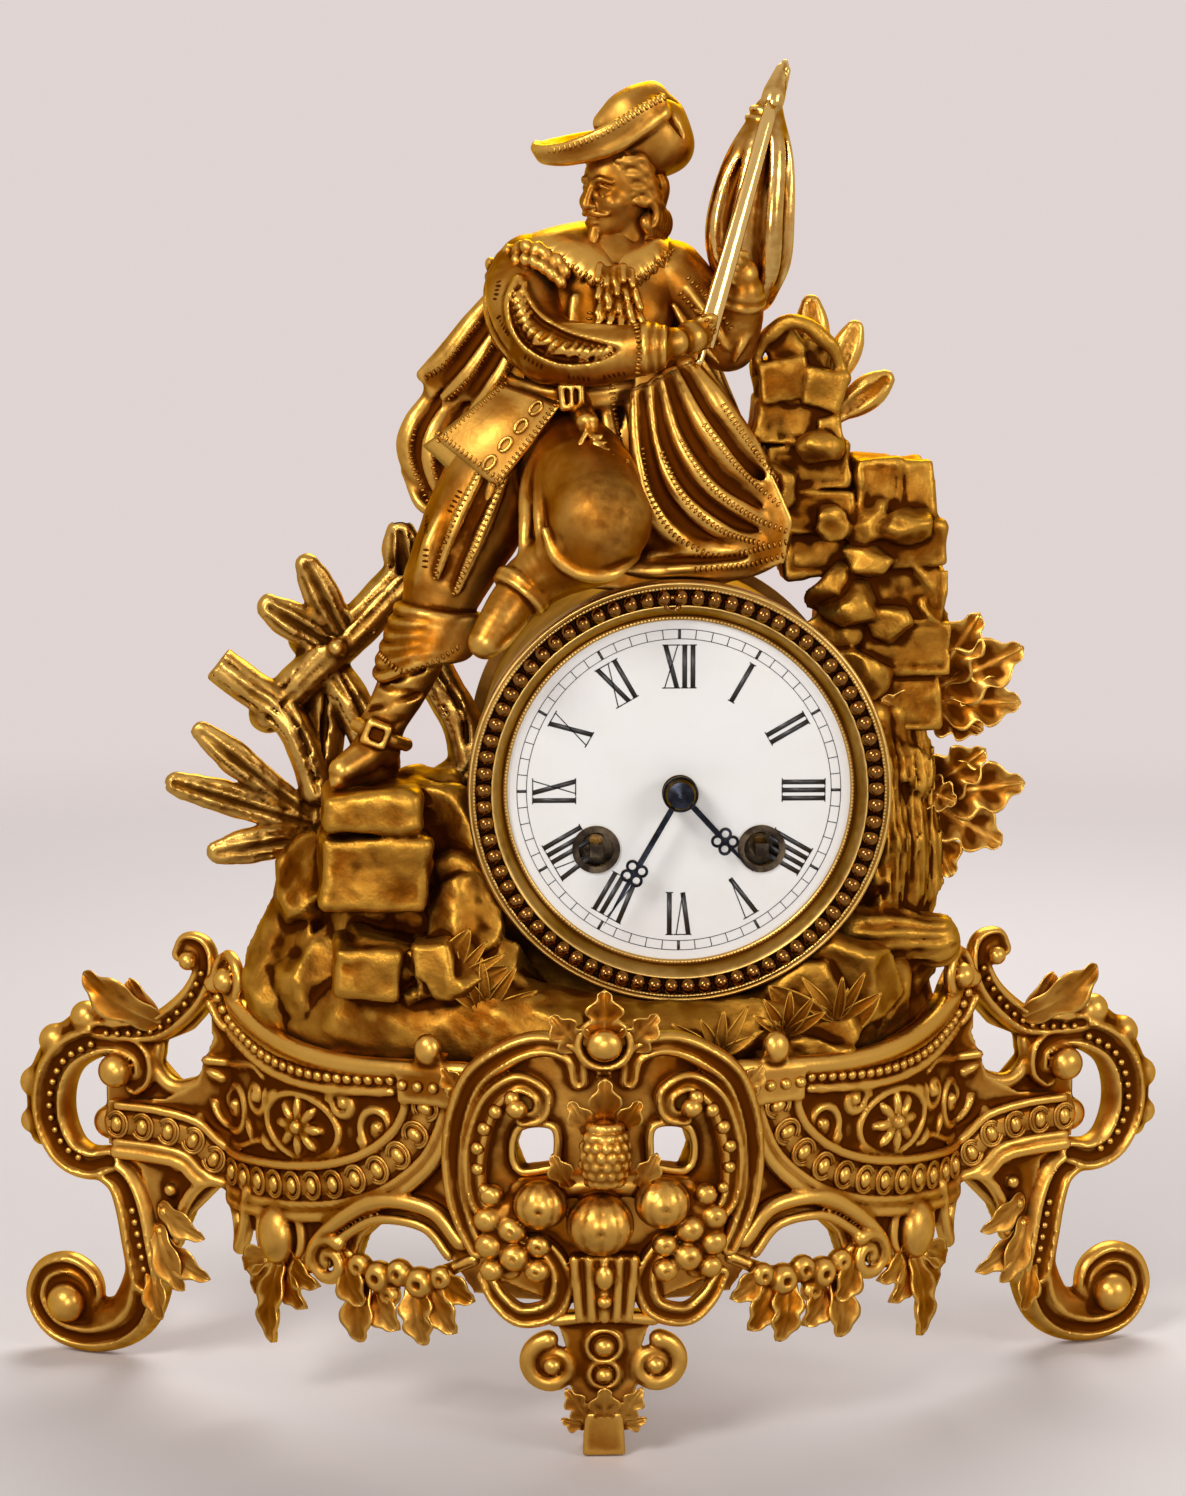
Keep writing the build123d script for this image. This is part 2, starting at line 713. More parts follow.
with BuildPart() as clock_room:
    disc(centre, drum_front, drum_back, drum_radius)
    disc(centre, bezel_front - view_room, drum_front + apart, bezel_radius + apart)

# Bezel: a turned and cast ring that holds the dial

with BuildPart() as bezel:
    turned(centre, [
        (dial_opening, dial_front), (dial_opening, dial_front - bezel_lip),
        (dial_opening + bezel_cove[0], dial_front - bezel_cove[1]),
        (dial_opening + bezel_flat[0], bezel_front + bezel_flat[1]), (bezel_radius - bezel_crown, bezel_front),
        (bezel_radius - bezel_round[0], bezel_front + bezel_round[1]),
        (bezel_radius, bezel_front + bezel_round[2]), (bezel_radius, drum_front), (dial_radius, drum_front),
        (dial_radius, dial_front),
    ])
    disc(regulator_place, bezel_front - apart, drum_front, stout_radius + apart, Mode.SUBTRACT)
finish(bezel, "bezel")

# Enamel dial with holes for the hands and the two winding squares

with BuildPart() as dial:
    disc(centre, dial_front, dial_back, dial_radius)
    disc(centre, dial_front, dial_back, hour_pipe_radius + 2 * apart, Mode.SUBTRACT)
    for hole in (going, strike):
        disc(hole, dial_front, dial_back, eyelet_radius, Mode.SUBTRACT)
finish(dial, "dial")

with BuildPart() as winding_eyelets:
    for hole in (going, strike):
        turned(hole, [
            (eyelet_hole, dial_front - eyelet_lip), (eyelet_flange, dial_front - eyelet_lip),
            (eyelet_flange, dial_front), (eyelet_radius, dial_front), (eyelet_radius, dial_back),
            (eyelet_hole, dial_back),
        ])
finish(winding_eyelets, "winding_eyelets")

# Back of the case: a ring with the hinge pin, held by two straps and screws, and a pierced door

hinge_x = dial_x - hinge_offset
ring_back = drum_back + rear_bezel_depth
hinge_y = ring_back + hinge_barrel_radius - hinge_sink
strap_places = [(strap_circle, 0.0), (-strap_circle, 0.0)]


def knuckle(low, high, y_from, y_to):
    """A hinge barrel with the leaf that carries it."""
    with Locations((hinge_x, hinge_y, dial_z + (low + high) / 2)):
        Cylinder(hinge_barrel_radius, high - low)
    leaf_end = dial_x - rear_bezel_inside - strap_width / 2
    with Locations(((hinge_x + leaf_end) / 2, (y_from + y_to) / 2, dial_z + (low + high) / 2)):
        Box(leaf_end - hinge_x, y_to - y_from, high - low)


def hinge_bore(low, high, radius):
    """The hole through a hinge barrel."""
    with Locations((hinge_x, hinge_y, dial_z + (low + high) / 2)):
        Cylinder(radius, high - low + 2 * apart, mode=Mode.SUBTRACT)


with BuildPart() as rear_bezel:
    disc(centre, drum_back, ring_back, rear_bezel_radius)
    near, far = hinge_door_length / 2 + apart, hinge_length / 2
    for low, high in ((near, far), (-far, -near)):
        knuckle(low, high, drum_back, ring_back)
    disc(centre, drum_back - apart, ring_back + 2 * hinge_barrel_radius, rear_bezel_inside, Mode.SUBTRACT)
    with Locations((hinge_x, hinge_y, dial_z)):
        Cylinder(hinge_pin_radius, hinge_length)
    for place in strap_places:
        disc(place, drum_back, ring_back, strap_screw_radius, Mode.SUBTRACT)
        disc(place, ring_back - strap_screw_head_depth, ring_back, strap_screw_head, Mode.SUBTRACT)
finish(rear_bezel, "rear_bezel")

door_front = ring_back + apart
door_hollow = door_radius - door_shoulder - door_thickness
with BuildPart() as rear_door:
    turned(centre, [
        (0, door_front), (door_radius, door_front), (door_radius, door_front + door_thickness),
        (door_radius - door_flat, door_front + door_thickness),
        (door_radius - door_shoulder, door_front + door_dome),
        (0, door_front + door_dome),
    ])
    turned(centre, [
        (0, door_front), (door_radius - door_flat - door_thickness, door_front),
        (door_hollow, door_front + door_dome - door_thickness),
        (0, door_front + door_dome - door_thickness),
    ], Mode.SUBTRACT)
    knuckle(-hinge_door_length / 2, hinge_door_length / 2, door_front, door_front + door_thickness)
    disc(centre, door_front, door_front + door_dome - door_thickness, door_hollow, Mode.SUBTRACT)
    hinge_bore(-hinge_door_length / 2, hinge_door_length / 2, hinge_pin_radius + running)
    with BuildSketch(facing(centre, door_front + door_dome)) as piercing:
        with PolarLocations(sound_hole_circle, sound_holes):
            Circle(sound_hole_radius)
    extrude(piercing.sketch, amount=door_dome, mode=Mode.SUBTRACT)
finish(rear_door, "rear_door")

with BuildPart() as case_straps:
    for place in strap_places:
        low = (place[0] - strap_thickness / 2, -strap_width / 2)
        high = (place[0] + strap_thickness / 2, strap_width / 2)
        block(low, high, drum_front, drum_back)
        disc(place, drum_back + running, ring_back - strap_screw_head_depth, strap_screw_radius)
        disc(place, ring_back - strap_screw_head_depth, ring_back, strap_screw_head)
finish(case_straps, "case_straps")

# Movement frame: two round plates on four pillars

plain_arbors = [second, third, escape, strike_second, pin_wheel_at, warning, fly_at]
barrels = {"going": going, "strike": strike}
click_places = {name: polar(barrels[name], click_pivot, click_bearings[name]) for name in barrels}
ratchet_y = (front_plate_y - ratchet_gap - ratchet_thickness, front_plate_y - ratchet_gap)
minute_wheel_y = (front_plate_y - minute_wheel_gap[0], front_plate_y - minute_wheel_gap[1])
hour_wheel_y = (front_plate_y - hour_wheel_gap[0], front_plate_y - hour_wheel_gap[1])
cannon_y = (front_plate_y - cannon_gap[0], front_plate_y - cannon_gap[1])

with BuildPart() as front_plate:
    disc(centre, front_plate_y, inside, front_plate_radius)
    for arbor_at in plain_arbors + [pallets, hammer_place]:
        disc(arbor_at, front_plate_y, inside, pivot_radius + running, Mode.SUBTRACT)
    disc(centre, front_plate_y, inside, arbor_radius + running, Mode.SUBTRACT)
    disc(regulator_place, front_plate_y, inside, stout_radius + running, Mode.SUBTRACT)
    for barrel_at in barrels.values():
        disc(barrel_at, front_plate_y, inside, winding_radius + running, Mode.SUBTRACT)
    for place in pillar_places:
        disc(place, front_plate_y, inside, pillar_pivot_radius, Mode.SUBTRACT)
    for side in (-1, 1):
        notch = [side * (strap_circle - strap_thickness / 2 - apart), side * (front_plate_radius + apart)]
        block((min(notch), -strap_width / 2 - apart), (max(notch), strap_width / 2 + apart),
              front_plate_y, inside, Mode.SUBTRACT)
    for quarter in range(4):
        disc(polar(centre, post_circle, 45 + 90 * quarter), drum_front, front_plate_y, post_radius)
    for stud_at in click_places.values():
        disc(stud_at, ratchet_y[0] - ratchet_gap, front_plate_y, click_stud_radius)
    disc(minute_at, hour_wheel_y[0] - minute_stud_proud, front_plate_y, stout_radius)
finish(front_plate, "front_plate")

with BuildPart() as back_plate:
    disc(centre, back_plate_y, behind, back_plate_radius)
    for arbor_at in [second, third, escape, centre, pin_wheel_at, warning, fly_at, pallets]:
        disc(arbor_at, back_plate_y, behind, pivot_radius + running, Mode.SUBTRACT)
    for arbor_at in (strike_second, hammer_place):
        disc(arbor_at, back_plate_y, behind, stout_radius + running, Mode.SUBTRACT)
    for barrel_at in barrels.values():
        disc(barrel_at, back_plate_y, behind, barrel_pivot_radius + running, Mode.SUBTRACT)
    for place in pillar_places:
        disc(place, back_plate_y, behind, pillar_pivot_radius, Mode.SUBTRACT)
finish(back_plate, "back_plate")

with BuildPart() as plate_pillars:
    for place in pillar_places:
        disc(place, inside, back_plate_y, pillar_radius)
        disc(place, front_plate_y, behind + pillar_tail, pillar_pivot_radius)
finish(plate_pillars, "plate_pillars")

# Hands and motion work


def hand(angle, length, ornament, tail, y_back, bore):
    """A slim hand with a pierced quatrefoil, pointing at a clockwise angle from twelve."""
    turn = 90 - angle
    tip = polar(centre, length, turn)
    with BuildSketch(facing(centre, y_back)) as shape:
        Circle(tail)
        Polygon(*bar_points(centre, polar(centre, ornament, turn), hand_width), align=None)
        across = bar_points(polar(centre, ornament, turn), tip, hand_width)
        Polygon(across[0], tip, across[3], align=None)
        flower = polar(centre, ornament, turn)
        petals = [polar(flower, quatrefoil_spread, turn + 45 + 90 * petal) for petal in range(4)]
        with Locations(*petals):
            Circle(quatrefoil_radius)
        with Locations(*petals):
            Circle(quatrefoil_hole, mode=Mode.SUBTRACT)
        Circle(bore, mode=Mode.SUBTRACT)
    extrude(shape.sketch, amount=hand_thickness)


minute_hand_front = minute_hand_back - hand_thickness
minute_angle = minute_shown * 6
hour_angle = (hour_shown + minute_shown / 60) * 30

with BuildPart() as minute_hand:
    hand(minute_angle, minute_hand_length, minute_ornament, hand_boss_radius, minute_hand_back, cannon_radius)
    turned(centre, [
        (0, minute_hand_front), (hand_nut_foot, minute_hand_front),
        (hand_nut_top, minute_hand_front - hand_nut_shoulder), (0, minute_hand_front - hand_nut_depth),
    ])
finish(minute_hand, "minute_hand")

with BuildPart() as hour_hand:
    hand(hour_angle, hour_hand_length, hour_ornament, hand_boss_radius, hour_hand_back, hour_pipe_radius)
finish(hour_hand, "hour_hand")

with BuildPart() as centre_arbor:
    disc(centre, inside + apart, back_plate_y - apart, arbor_radius)
    disc(centre, back_plate_y - apart, behind - apart, pivot_radius)
    disc(centre, cannon_y[1], inside + apart, arbor_radius)
    disc(centre, minute_hand_front, cannon_y[1], cannon_radius)
    toothed(centre, cannon_y, cannon_teeth, motion_module, pinion_form, minute_bearing + 180 / cannon_teeth)
    driving(centre, within(centre_layer), centre_teeth, centre_module, third)
    crossings(centre, within(centre_layer), centre_teeth * centre_module / 2)
    driven_by(centre, within(second_layer), centre_pinion, second_module, second)
finish(centre_arbor, "centre_arbor")

with BuildPart() as hour_wheel:
    driving(centre, hour_wheel_y, hour_teeth, hour_module, minute_at)
    crossings(centre, hour_wheel_y, hour_teeth * hour_module / 2, hour_wheel_hub)
    disc(centre, hour_hand_back - hand_thickness, hour_wheel_y[1], hour_pipe_radius)
    disc(centre, hour_hand_back - hand_thickness, hour_wheel_y[1], cannon_radius + running, Mode.SUBTRACT)
finish(hour_wheel, "hour_wheel")

with BuildPart() as minute_wheel:
    driving(minute_at, minute_wheel_y, minute_teeth, motion_module, centre)
    toothed(minute_at, (hour_wheel_y[0] - minute_pinion_lap, minute_wheel_y[0]), minute_pinion, hour_module,
            pinion_form, bearing(minute_at, centre) + 180 / minute_pinion)
    disc(minute_at, hour_wheel_y[0] - minute_stud_proud, minute_wheel_y[1], stout_radius + running,
         Mode.SUBTRACT)
finish(minute_wheel, "minute_wheel")

# Going train

with BuildPart() as second_wheel:
    arbor(second)
    driving(second, within(second_layer), second_teeth, second_module, centre)
    crossings(second, within(second_layer), second_teeth * second_module / 2)
    driven_by(second, within(great_layer), great_pinion, great_module, going)
finish(second_wheel, "second_wheel")

with BuildPart() as third_wheel:
    arbor(third)
    driving(third, within(third_layer), third_teeth, third_module, escape)
    crossings(third, within(third_layer), third_teeth * third_module / 2)
    driven_by(third, within(centre_layer), third_pinion, centre_module, centre)
finish(third_wheel, "third_wheel")

escape_points = []
for tooth in range(escape_teeth):
    for radius, share in escape_tooth:
        escape_points.append(polar(centre, escape_radius * radius, 360 * (tooth + share) / escape_teeth))
with BuildPart() as escape_wheel:
    arbor(escape)
    slab(escape, within(escape_layer)[0], within(escape_layer)[1], escape_points)
    crossings(escape, within(escape_layer), escape_radius * escape_rim)
    driven_by(escape, within(third_layer), escape_pinion, third_module, third)
finish(escape_wheel, "escape_wheel")

# Anchor with its arbor and the crutch that leads the pendulum

pallet_gap = escape_radius + pallet_clear
prong_offset = pendulum_rod_radius + apart + crutch_prong
crutch_y = (behind + crutch_gap[0], behind + crutch_gap[1])
with BuildPart() as anchor:
    arbor(pallets, back_end=crutch_y[1])
    with BuildSketch(facing(escape, within(escape_layer)[1])) as claw:
        Circle(pallet_gap + anchor_arm)
        Circle(pallet_gap, mode=Mode.SUBTRACT)
        Rectangle(2 * pallet_gap * math.sin(math.radians(pallet_spread)), 2 * pallet_distance,
                  mode=Mode.INTERSECT, align=(Align.CENTER, Align.MIN))
    extrude(claw.sketch, amount=within(escape_layer)[1] - within(escape_layer)[0])
    slab(pallets, within(escape_layer)[0], within(escape_layer)[1],
         bar_points((0, anchor_head), (0, pallet_gap + anchor_arm / 2 - pallet_distance), anchor_stem))
    slab(pallets, crutch_y[0], crutch_y[1], bar_points((0, crutch_head), (0, -crutch_drop), crutch_width))
    slab(pallets, crutch_y[0], crutch_y[1],
         bar_points((-prong_offset - crutch_prong, -crutch_drop), (prong_offset + crutch_prong, -crutch_drop),
                    crutch_width))
    for side in (-1, 1):
        disc((side * prong_offset, pallets[1] - crutch_drop), crutch_y[0], pendulum_y + crutch_reach,
             crutch_prong)
finish(anchor, "anchor")

# Pendulum: a thin rod on a hook, and a lens bob with its rating nut

bob_at = (0.0, pallets[1] - pendulum_length)
with BuildPart() as pendulum_rod:
    with BuildSketch(Plane.XY.offset(dial_z + bob_at[1] - bob_radius - rod_tail)) as section:
        with Locations((dial_x, pendulum_y)):
            Circle(pendulum_rod_radius)
    extrude(section.sketch, amount=pendulum_length + bob_radius + rod_tail - hook_drop)
    block((-hook_half, pallets[1] - hook_length), (hook_half, pallets[1] - apart),
          pendulum_y - blade_half_depth, pendulum_y + blade_half_depth)
finish(pendulum_rod, "pendulum_rod")

with BuildPart() as pendulum_bob:
    turned(bob_at, [
        (0, pendulum_y - bob_thickness / 2),
        (bob_radius * bob_shoulder[0], pendulum_y - bob_thickness * bob_shoulder[1]),
        (bob_radius, pendulum_y - bob_edge), (bob_radius, pendulum_y + bob_edge),
        (bob_radius * bob_shoulder[0], pendulum_y + bob_thickness * bob_shoulder[1]),
        (0, pendulum_y + bob_thickness / 2),
    ])
    with Locations((dial_x, pendulum_y, dial_z + bob_at[1] - bob_radius - rating_nut_height / 2)):
        Cylinder(rating_nut_radius, rating_nut_height)
    add(pendulum_rod.part, mode=Mode.SUBTRACT)
finish(pendulum_bob, "pendulum_bob")

# Suspension: a cock on the back plate, the spring blade, and a slide that shortens the blade

cock_low = pallets[1] + cock_rise[0]
cock_top = pallets[1] + cock_rise[1]
slide_y = (pendulum_y - slide_half_depth, pendulum_y + slide_half_depth)
cock_back = slide_y[1] + yoke_thickness
blade_y = (pendulum_y - blade_half_depth, pendulum_y + blade_half_depth)
regulator_pin_at = (regulator_place[0] + regulator_throw, regulator_place[1])
crank_y = (cock_back - crank_thickness, cock_back)
yoke_y = (cock_back + apart, cock_back + apart + yoke_thickness)

with BuildPart() as suspension_cock:
    block((-cock_foot_half, pallets[1] + cock_foot_rise), (cock_foot_half, regulator_place[1] + cock_foot_head),
          behind, behind + cock_foot_depth)
    for side in (-1, 1):
        block((min(side * cock_cheek[0], side * cock_cheek[1]), cock_low),
              (max(side * cock_cheek[0], side * cock_cheek[1]), cock_top), behind, cock_back)
    block((-cock_cheek[1], cock_top - cock_bridge), (cock_cheek[1], cock_top), behind, cock_back)
    disc(regulator_place, behind, behind + cock_foot_depth, stout_radius + running, Mode.SUBTRACT)
    block((-spring_blade / 2, pallets[1] + running), (spring_blade / 2, cock_top - cock_bridge - running),
          blade_y[0], blade_y[1])
finish(suspension_cock, "suspension_cock")

slide_half = cock_cheek[0] - apart
slide_low = pallets[1] + slide_rise
slide_top = slide_low + slide_height
with BuildPart() as suspension_slide:
    block((-slide_half, slide_low), (slide_half, slide_top), slide_y[0], slide_y[1])
    block((-spring_blade / 2 - apart, slide_low), (spring_blade / 2 + apart, slide_top),
          blade_y[0] - apart, blade_y[1] + apart, Mode.SUBTRACT)
    block((-slide_half, slide_low), (slide_half, slide_top), slide_y[1], yoke_y[1])
    block((-slide_half, slide_low),
          (slide_half - yoke_edge, regulator_place[1] + regulator_pin + apart + yoke_edge),
          yoke_y[0], yoke_y[1])
    block((regulator_pin_at[0] - regulator_pin - 2 * apart, regulator_place[1] - regulator_pin - apart),
          (regulator_pin_at[0] + regulator_pin + apart, regulator_place[1] + regulator_pin + apart),
          yoke_y[0], yoke_y[1], Mode.SUBTRACT)
finish(suspension_slide, "suspension_slide")

with BuildPart() as regulator_arbor:
    disc(regulator_place, bezel_front + regulator_sunk, crank_y[1], stout_radius)
    disc(regulator_place, crank_y[0], crank_y[1], regulator_throw + regulator_pin + crank_edge)
    disc(regulator_pin_at, crank_y[0], yoke_y[1], regulator_pin)
finish(regulator_arbor, "regulator_arbor")

# Barrels with their mainsprings, winding arbors, ratchets and clicks


def spiral_strip(place, layer):
    """A mainspring: a flat strip wound from the arbor out to the barrel's wall."""
    outer = barrel_radius - barrel_wall - apart - spring_strip
    steps = spring_turns * spring_steps
    edge = []
    for step in range(steps + 1):
        radius = spring_inner + (outer - spring_inner) * step / steps
        edge.append((radius, 360 * spring_turns * step / steps))
    points = [polar(centre, radius + spring_strip, turn) for radius, turn in edge]
    points += [polar(centre, radius, turn) for radius, turn in reversed(edge)]
    slab(place, layer[0], layer[1], points)


def barrel(place, driven):
    """A brass barrel with its great wheel, hollow for the mainspring."""
    front, back = within(barrel_layer)
    driving(place, within(great_layer), great_teeth, great_module, driven)
    disc(place, front, back, barrel_radius)
    disc(place, front, back - barrel_wall, barrel_radius - barrel_wall, Mode.SUBTRACT)
    disc(place, within(great_layer)[0], back, barrel_arbor_radius + running, Mode.SUBTRACT)


def winding_arbor(place):
    """A steel arbor with a square end for the key and a ratchet wheel in front of the plate."""
    sawtooth = []
    for tooth in range(ratchet_teeth):
        sawtooth.append(polar(centre, ratchet_root, 360 * tooth / ratchet_teeth))
        sawtooth.append(polar(centre, ratchet_radius, 360 * (tooth + ratchet_rake) / ratchet_teeth))
    disc(place, ratchet_y[0] - winding_shoulder, inside + apart, winding_radius)
    disc(place, inside + apart, back_plate_y - apart, barrel_arbor_radius)
    disc(place, back_plate_y - apart, behind - apart, barrel_pivot_radius)
    slab(place, ratchet_y[0], ratchet_y[1], sawtooth)
    half = winding_square / 2
    slab(place, -winding_reach, ratchet_y[0] - winding_shoulder,
         [(-half, -half), (half, -half), (half, half), (-half, half)])


def click(place, barrel_at, side):
    """A click on its stud, with its beak just clear of the ratchet's teeth."""
    lean = bearing(barrel_at, place)
    beak = polar(barrel_at, ratchet_radius + click_tip_clear, lean + side * click_tip_turn)
    beak_back = polar(barrel_at, ratchet_radius + click_beak[0], lean + side * (click_tip_turn - click_beak[1]))
    outer = polar(barrel_at, click_pivot + click_outer[0], lean + side * click_outer[1])
    inner = polar(barrel_at, click_pivot - click_inner[0], lean + side * click_inner[1])
    with BuildSketch(facing(centre, ratchet_y[1])) as lever:
        Polygon(beak, beak_back, outer, inner, align=None)
        with Locations(place):
            Circle(click_boss)
        with Locations(place):
            Circle(click_stud_radius + running, mode=Mode.SUBTRACT)
    extrude(lever.sketch, amount=ratchet_y[1] - ratchet_y[0])


with BuildPart() as going_barrel:
    barrel(going, second)
finish(going_barrel, "going_barrel")

with BuildPart() as going_mainspring:
    spiral_strip(going, (within(barrel_layer)[0] + apart, within(barrel_layer)[1] - barrel_wall - apart))
finish(going_mainspring, "going_mainspring")

with BuildPart() as going_winding_arbor:
    winding_arbor(going)
finish(going_winding_arbor, "going_winding_arbor")

with BuildPart() as going_click:
    click(click_places["going"], going, 1)
finish(going_click, "going_click")

with BuildPart() as strike_barrel:
    barrel(strike, strike_second)
finish(strike_barrel, "strike_barrel")

with BuildPart() as strike_mainspring:
    spiral_strip(strike, (within(barrel_layer)[0] + apart, within(barrel_layer)[1] - barrel_wall - apart))
finish(strike_mainspring, "strike_mainspring")

with BuildPart() as strike_winding_arbor:
    winding_arbor(strike)
finish(strike_winding_arbor, "strike_winding_arbor")

with BuildPart() as strike_click:
    click(click_places["strike"], strike, -1)
finish(strike_click, "strike_click")

# Strike train, with the count wheel behind the back plate

count_y = (behind + count_gap, behind + count_gap + count_thickness)
with BuildPart() as strike_second_wheel:
    arbor(strike_second, stout_radius, count_y[1] + count_gap)
    driving(strike_second, within(second_layer), second_teeth, second_module, pin_wheel_at)
    crossings(strike_second, within(second_layer), second_teeth * second_module / 2)
    driven_by(strike_second, within(great_layer), great_pinion, great_module, strike)
finish(strike_second_wheel, "strike_second_wheel")

with BuildPart() as count_wheel:
    disc(strike_second, count_y[0], count_y[1], count_radius)
    struck = 0
    for hour in range(1, 13):
        struck += hour + 1
        notch = 360 * struck / strike_blows
        slab(strike_second, count_y[0], count_y[1],
             bar_points(polar(centre, count_radius - count_notch_depth, notch),
                        polar(centre, count_radius + count_notch, notch), count_notch),
             Mode.SUBTRACT)
    disc(strike_second, count_y[0], count_y[1], stout_radius, Mode.SUBTRACT)
finish(count_wheel, "count_wheel")

with BuildPart() as pin_wheel:
    arbor(pin_wheel_at)
    driving(pin_wheel_at, within(third_layer), pin_teeth, pin_module, warning)
    driven_by(pin_wheel_at, within(second_layer), strike_pinion, second_module, strike_second)
    for pin in range(strike_pins):
        disc(polar(pin_wheel_at, strike_pin_circle, 360 * pin / strike_pins),
             within(pin_layer)[0], within(pin_layer)[1], strike_pin_radius)
finish(pin_wheel, "pin_wheel")

with BuildPart() as warning_wheel:
    arbor(warning)
    driving(warning, within(warning_layer), warning_teeth, warning_module, fly_at)
    crossings(warning, within(warning_layer), warning_teeth * warning_module / 2)
    driven_by(warning, within(third_layer), warning_pinion, pin_module, pin_wheel_at)
finish(warning_wheel, "warning_wheel")

with BuildPart() as fly:
    arbor(fly_at)
    driven_by(fly_at, within(warning_layer), fly_pinion, warning_module, warning)
    slab(fly_at, within(fly_layer)[0], within(fly_layer)[1],
         bar_points((-fly_radius, 0), (fly_radius, 0), fly_thickness))
    disc(fly_at, within(fly_layer)[0], within(fly_layer)[1], arbor_radius + fly_pipe)
finish(fly, "fly")

# Hammer and bell, behind the back plate

hammer_y = (bell_front, bell_front + hammer_head_length)
tail_length = math.dist(hammer_place, pin_wheel_at) - strike_pin_circle - strike_pin_radius - hammer_rest
with BuildPart() as hammer:
    arbor(hammer_place, stout_radius, hammer_y[1] - hammer_inset / 2)
    slab(centre, within(tail_layer)[0], within(tail_layer)[1],
         bar_points(hammer_place, polar(hammer_place, tail_length, bearing(hammer_place, pin_wheel_at)),
                    hammer_tail_width))
    disc(hammer_place, within(tail_layer)[0], within(tail_layer)[1], stout_radius + hammer_boss)
    slab(centre, hammer_y[0] + hammer_inset, hammer_y[1] - hammer_inset,
         bar_points(hammer_place, hammer_head_at, hammer_arm_width))
    disc(hammer_place, hammer_y[0] + hammer_inset, hammer_y[1] - hammer_inset, stout_radius + hammer_boss)
    disc(hammer_head_at, hammer_y[0], hammer_y[1], hammer_head_radius)
finish(hammer, "hammer")

bell_back = bell_front + bell_depth
with BuildPart() as bell:
    profile = [(bell_radius * out, bell_front + bell_depth * deep) for out, deep in bell_outside]
    profile += [(bell_post_radius, bell_back), (bell_post_radius, bell_back - bell_wall)]
    profile += [(bell_radius * out, bell_front + bell_depth * deep) for out, deep in bell_inside]
    turned(bell_place, profile)
finish(bell, "bell")

with BuildPart() as bell_stand:
    disc(bell_place, behind, behind + bell_foot_depth, bell_nut_radius)
    disc(bell_place, behind + bell_foot_depth, bell_back - bell_wall, bell_post_radius + bell_shoulder)
    disc(bell_place, bell_back - bell_wall, bell_back + bell_nut_height + apart, bell_post_radius)
    turned(bell_place, [
        (bell_post_radius + running, bell_back), (bell_nut_radius, bell_back),
        (bell_nut_radius, bell_back + bell_nut_height),
        (bell_post_radius + running, bell_back + bell_nut_height),
    ])
finish(bell_stand, "bell_stand")

# Base: a bowed and pierced casting with its deck, bead rim and lower band

bands = [bowed(polygon(rim_band), rim_proud, base_wall), bowed(polygon(lower_band), band_proud, base_wall)]
bob_half = math.tan(math.radians(pendulum_swing)) * pendulum_length + bob_radius + bob_room
with BuildPart() as base_shell:
    add(bowed(whole(shell_half), 0, base_wall))
    for band in bands:
        add(band)
        mirror(band, about=Plane.YZ)
    with BuildSketch(Plane.XY.offset(deck_top - deck_thickness)) as deck:
        with Locations((0, plan_centre)):
            Circle(plan_radius - base_wall / 2)
        with Locations((0, deck_back)):
            Rectangle(2 * deck_half_width, 2 * plan_radius, align=(Align.CENTER, Align.MAX),
                      mode=Mode.INTERSECT)
        with Locations((dial_x, slot_front - bob_room)):
            Rectangle(2 * bob_half, plan_radius, align=(Align.CENTER, Align.MIN), mode=Mode.SUBTRACT)
        with Locations(*bolt_places):
            Circle(bolt_radius, mode=Mode.SUBTRACT)
    extrude(deck.sketch, amount=deck_thickness)
finish(base_shell, "base_shell")

pad_y = plan_front - cartouche_proud
with BuildPart() as centre_cartouche:
    with BuildSketch() as cartouche_face:
        add(whole(cartouche_half))
        with Locations(cartouche_eye, (-cartouche_eye[0], cartouche_eye[1])):
            Ellipse(cartouche_eye_size[0] / 2, cartouche_eye_size[1] / 2, mode=Mode.SUBTRACT)
    add(bowed(cartouche_face.sketch, cartouche_proud, cartouche_depth))
    with BuildSketch(Plane.XZ.offset(-pad_y - cartouche_proud)) as pad:
        Polygon(*fruit_pad, align=None)
    extrude(pad.sketch, amount=cartouche_proud)
    add(base_shell.part, mode=Mode.SUBTRACT)
finish(centre_cartouche, "centre_cartouche")

with BuildPart() as fruit_cluster:
    for (x, z), radius in fruit_balls:
        with Locations(Location((x, pad_y - fruit_sink, z), (90, 0, 0))):
            Sphere(radius)
    egg((0, pad_y - fruit_sink, pinecone_middle), pinecone_radius, pinecone_half_height)
    split(bisect_by=Plane.XZ.offset(-pad_y), keep=Keep.TOP)
finish(fruit_cluster, "fruit_cluster")

with BuildPart() as centre_foot:
    for (top_z, top_half, top_deep), (low_z, low_half, low_deep) in zip(foot_sections, foot_sections[1:]):
        with BuildSketch(Plane.XY.offset(low_z)) as lower:
            with Locations((0, foot_y)):
                RectangleRounded(2 * low_half, 2 * low_deep, foot_round)
        with BuildSketch(Plane.XY.offset(top_z)) as upper:
            with Locations((0, foot_y)):
                RectangleRounded(2 * top_half, 2 * top_deep, foot_round)
        loft([lower.sketch, upper.sketch])
    add(centre_cartouche.part, mode=Mode.SUBTRACT)
finish(centre_foot, "centre_foot")

# Wings of the base: a foot volute, its stem, a C-scroll and a crest, cast in one

